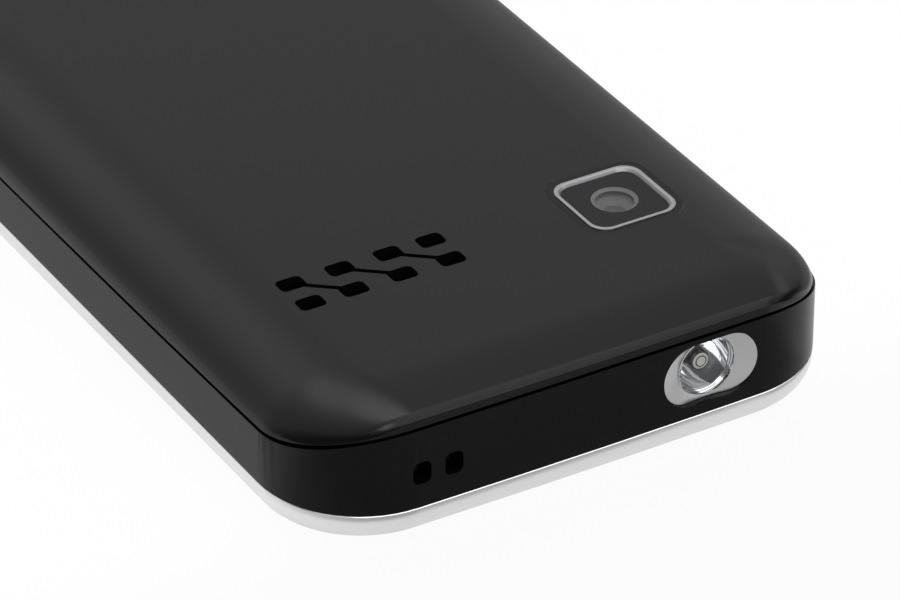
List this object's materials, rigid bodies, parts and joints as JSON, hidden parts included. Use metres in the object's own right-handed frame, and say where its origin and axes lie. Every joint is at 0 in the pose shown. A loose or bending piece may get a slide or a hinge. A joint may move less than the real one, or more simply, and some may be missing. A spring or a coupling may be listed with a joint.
{
  "type": "feature phone",
  "caption": "Bar-shaped feature phone on its face: rolled dark back cover, black mid frame, silver front rim, camera, torch, speaker grille, display and keypad.",
  "frame": {"origin": "centre of the footprint, on the surface that the silver front rim rests on", "axes": "+Z out of the back cover, +Y towards the bottom end with the sockets, so the torch end faces -Y, and +X towards the camera's side"},
  "size_m": [0.05, 0.117, 0.0122],
  "materials": {
    "cover_plastic": "fine satin texture",
    "frame_plastic": "satin",
    "rim_chrome": "polished plating",
    "panel_plastic": "glossy",
    "display_glass": "polished",
    "lcd_glass": "satin",
    "black_plastic": "moulded",
    "steel_mesh": "woven",
    "sheet_steel": "stamped",
    "mat_rubber": "matte",
    "dome_film": "film",
    "nav_plastic": "silver paint",
    "key_plastic": "glossy",
    "circuit_board": "solder mask",
    "battery_case": "wrapped in film",
    "contact_brass": "plated",
    "gasket_foam": "foam",
    "speaker_cloth": "fine mesh",
    "lens_plastic": "satin",
    "bezel_metal": "satin",
    "camera_glass": "polished",
    "torch_metal": "satin plating",
    "torch_glass": "clear",
    "reflector_chrome": "polished",
    "led_resin": "clear resin over phosphor",
    "screw_steel": "plated"
  },
  "bodies": {
    "chassis": {"mid_frame": "frame_plastic", "front_frame": "rim_chrome", "front_panel": "panel_plastic", "display_window": "display_glass", "lcd_module": "lcd_glass", "earpiece": "black_plastic", "earpiece_mesh": "steel_mesh", "microphone": "sheet_steel", "keypad_mat": "mat_rubber", "dome_sheet": "dome_film", "main_board": "circuit_board", "processor_shield": "sheet_steel", "radio_shield": "sheet_steel", "battery": "battery_case", "battery_connector": "black_plastic", "battery_contacts": "contact_brass", "sim_holder_1": "sheet_steel", "sim_holder_2": "sheet_steel", "memory_card_holder": "sheet_steel", "antenna_carrier": "black_plastic", "vibration_motor": "sheet_steel", "loudspeaker": "black_plastic", "speaker_gasket": "gasket_foam", "speaker_mesh": "speaker_cloth", "camera_module": "black_plastic", "camera_lens": "lens_plastic", "camera_bezel": "bezel_metal", "camera_window": "camera_glass", "torch_bezel": "torch_metal", "torch_lens": "torch_glass", "torch_reflector": "reflector_chrome", "torch_led": "led_resin", "torch_board": "circuit_board", "audio_jack": "black_plastic", "usb_socket": "sheet_steel", "case_screws": "screw_steel"},
    "cover": {"back_cover": "cover_plastic"},
    "nav_ring": {"nav_ring": "nav_plastic"},
    "nav_pad": {"nav_pad": "mat_rubber"},
    "ok_key": {"ok_key": "key_plastic"},
    "key_1": {"key_1": "key_plastic"},
    "key_2": {"key_2": "key_plastic"},
    "key_3": {"key_3": "key_plastic"},
    "key_4": {"key_4": "key_plastic"},
    "key_5": {"key_5": "key_plastic"},
    "key_6": {"key_6": "key_plastic"},
    "key_7": {"key_7": "key_plastic"},
    "key_8": {"key_8": "key_plastic"},
    "key_9": {"key_9": "key_plastic"},
    "key_star": {"key_star": "key_plastic"},
    "key_0": {"key_0": "key_plastic"},
    "key_hash": {"key_hash": "key_plastic"},
    "soft_key_left": {"soft_key_left": "key_plastic"},
    "soft_key_right": {"soft_key_right": "key_plastic"},
    "call_key": {"call_key": "key_plastic"},
    "end_key": {"end_key": "key_plastic"}
  },
  "joints": [
    {"name": "cover_lift", "type": "slide", "parent": "chassis", "child": "cover", "axis": [0, 0, 1], "range_m": [0, 0.025]},
    {"name": "key_1_press", "type": "slide", "parent": "chassis", "child": "key_1", "axis": [0, 0, 1], "range_m": [0, 0.0003], "stiffness_N_per_m": 4000},
    {"name": "key_2_press", "type": "slide", "parent": "chassis", "child": "key_2", "axis": [0, 0, 1], "range_m": [0, 0.0003], "stiffness_N_per_m": 4000},
    {"name": "key_3_press", "type": "slide", "parent": "chassis", "child": "key_3", "axis": [0, 0, 1], "range_m": [0, 0.0003], "stiffness_N_per_m": 4000},
    {"name": "key_4_press", "type": "slide", "parent": "chassis", "child": "key_4", "axis": [0, 0, 1], "range_m": [0, 0.0003], "stiffness_N_per_m": 4000},
    {"name": "key_5_press", "type": "slide", "parent": "chassis", "child": "key_5", "axis": [0, 0, 1], "range_m": [0, 0.0003], "stiffness_N_per_m": 4000},
    {"name": "key_6_press", "type": "slide", "parent": "chassis", "child": "key_6", "axis": [0, 0, 1], "range_m": [0, 0.0003], "stiffness_N_per_m": 4000},
    {"name": "key_7_press", "type": "slide", "parent": "chassis", "child": "key_7", "axis": [0, 0, 1], "range_m": [0, 0.0003], "stiffness_N_per_m": 4000},
    {"name": "key_8_press", "type": "slide", "parent": "chassis", "child": "key_8", "axis": [0, 0, 1], "range_m": [0, 0.0003], "stiffness_N_per_m": 4000},
    {"name": "key_9_press", "type": "slide", "parent": "chassis", "child": "key_9", "axis": [0, 0, 1], "range_m": [0, 0.0003], "stiffness_N_per_m": 4000},
    {"name": "key_star_press", "type": "slide", "parent": "chassis", "child": "key_star", "axis": [0, 0, 1], "range_m": [0, 0.0003], "stiffness_N_per_m": 4000},
    {"name": "key_0_press", "type": "slide", "parent": "chassis", "child": "key_0", "axis": [0, 0, 1], "range_m": [0, 0.0003], "stiffness_N_per_m": 4000},
    {"name": "key_hash_press", "type": "slide", "parent": "chassis", "child": "key_hash", "axis": [0, 0, 1], "range_m": [0, 0.0003], "stiffness_N_per_m": 4000},
    {"name": "soft_key_left_press", "type": "slide", "parent": "chassis", "child": "soft_key_left", "axis": [0, 0, 1], "range_m": [0, 0.0003], "stiffness_N_per_m": 4000},
    {"name": "soft_key_right_press", "type": "slide", "parent": "chassis", "child": "soft_key_right", "axis": [0, 0, 1], "range_m": [0, 0.0003], "stiffness_N_per_m": 4000},
    {"name": "call_key_press", "type": "slide", "parent": "chassis", "child": "call_key", "axis": [0, 0, 1], "range_m": [0, 0.0003], "stiffness_N_per_m": 4000},
    {"name": "end_key_press", "type": "slide", "parent": "chassis", "child": "end_key", "axis": [0, 0, 1], "range_m": [0, 0.0003], "stiffness_N_per_m": 4000},
    {"name": "ok_key_press", "type": "slide", "parent": "chassis", "child": "ok_key", "axis": [0, 0, 1], "range_m": [0, 0.0003], "stiffness_N_per_m": 4000},
    {"name": "nav_tilt_x", "type": "hinge", "parent": "chassis", "child": "nav_pad", "pos_m": [0, 0.0152, 0.0029], "axis": [1, 0, 0], "range_deg": [-1.5, 1.5], "stiffness_Nm_per_rad": 0.3},
    {"name": "nav_tilt_y", "type": "hinge", "parent": "nav_pad", "child": "nav_ring", "pos_m": [0, 0.0152, 0.0029], "axis": [0, 1, 0], "range_deg": [-1.5, 1.5], "stiffness_Nm_per_rad": 0.3}
  ]
}
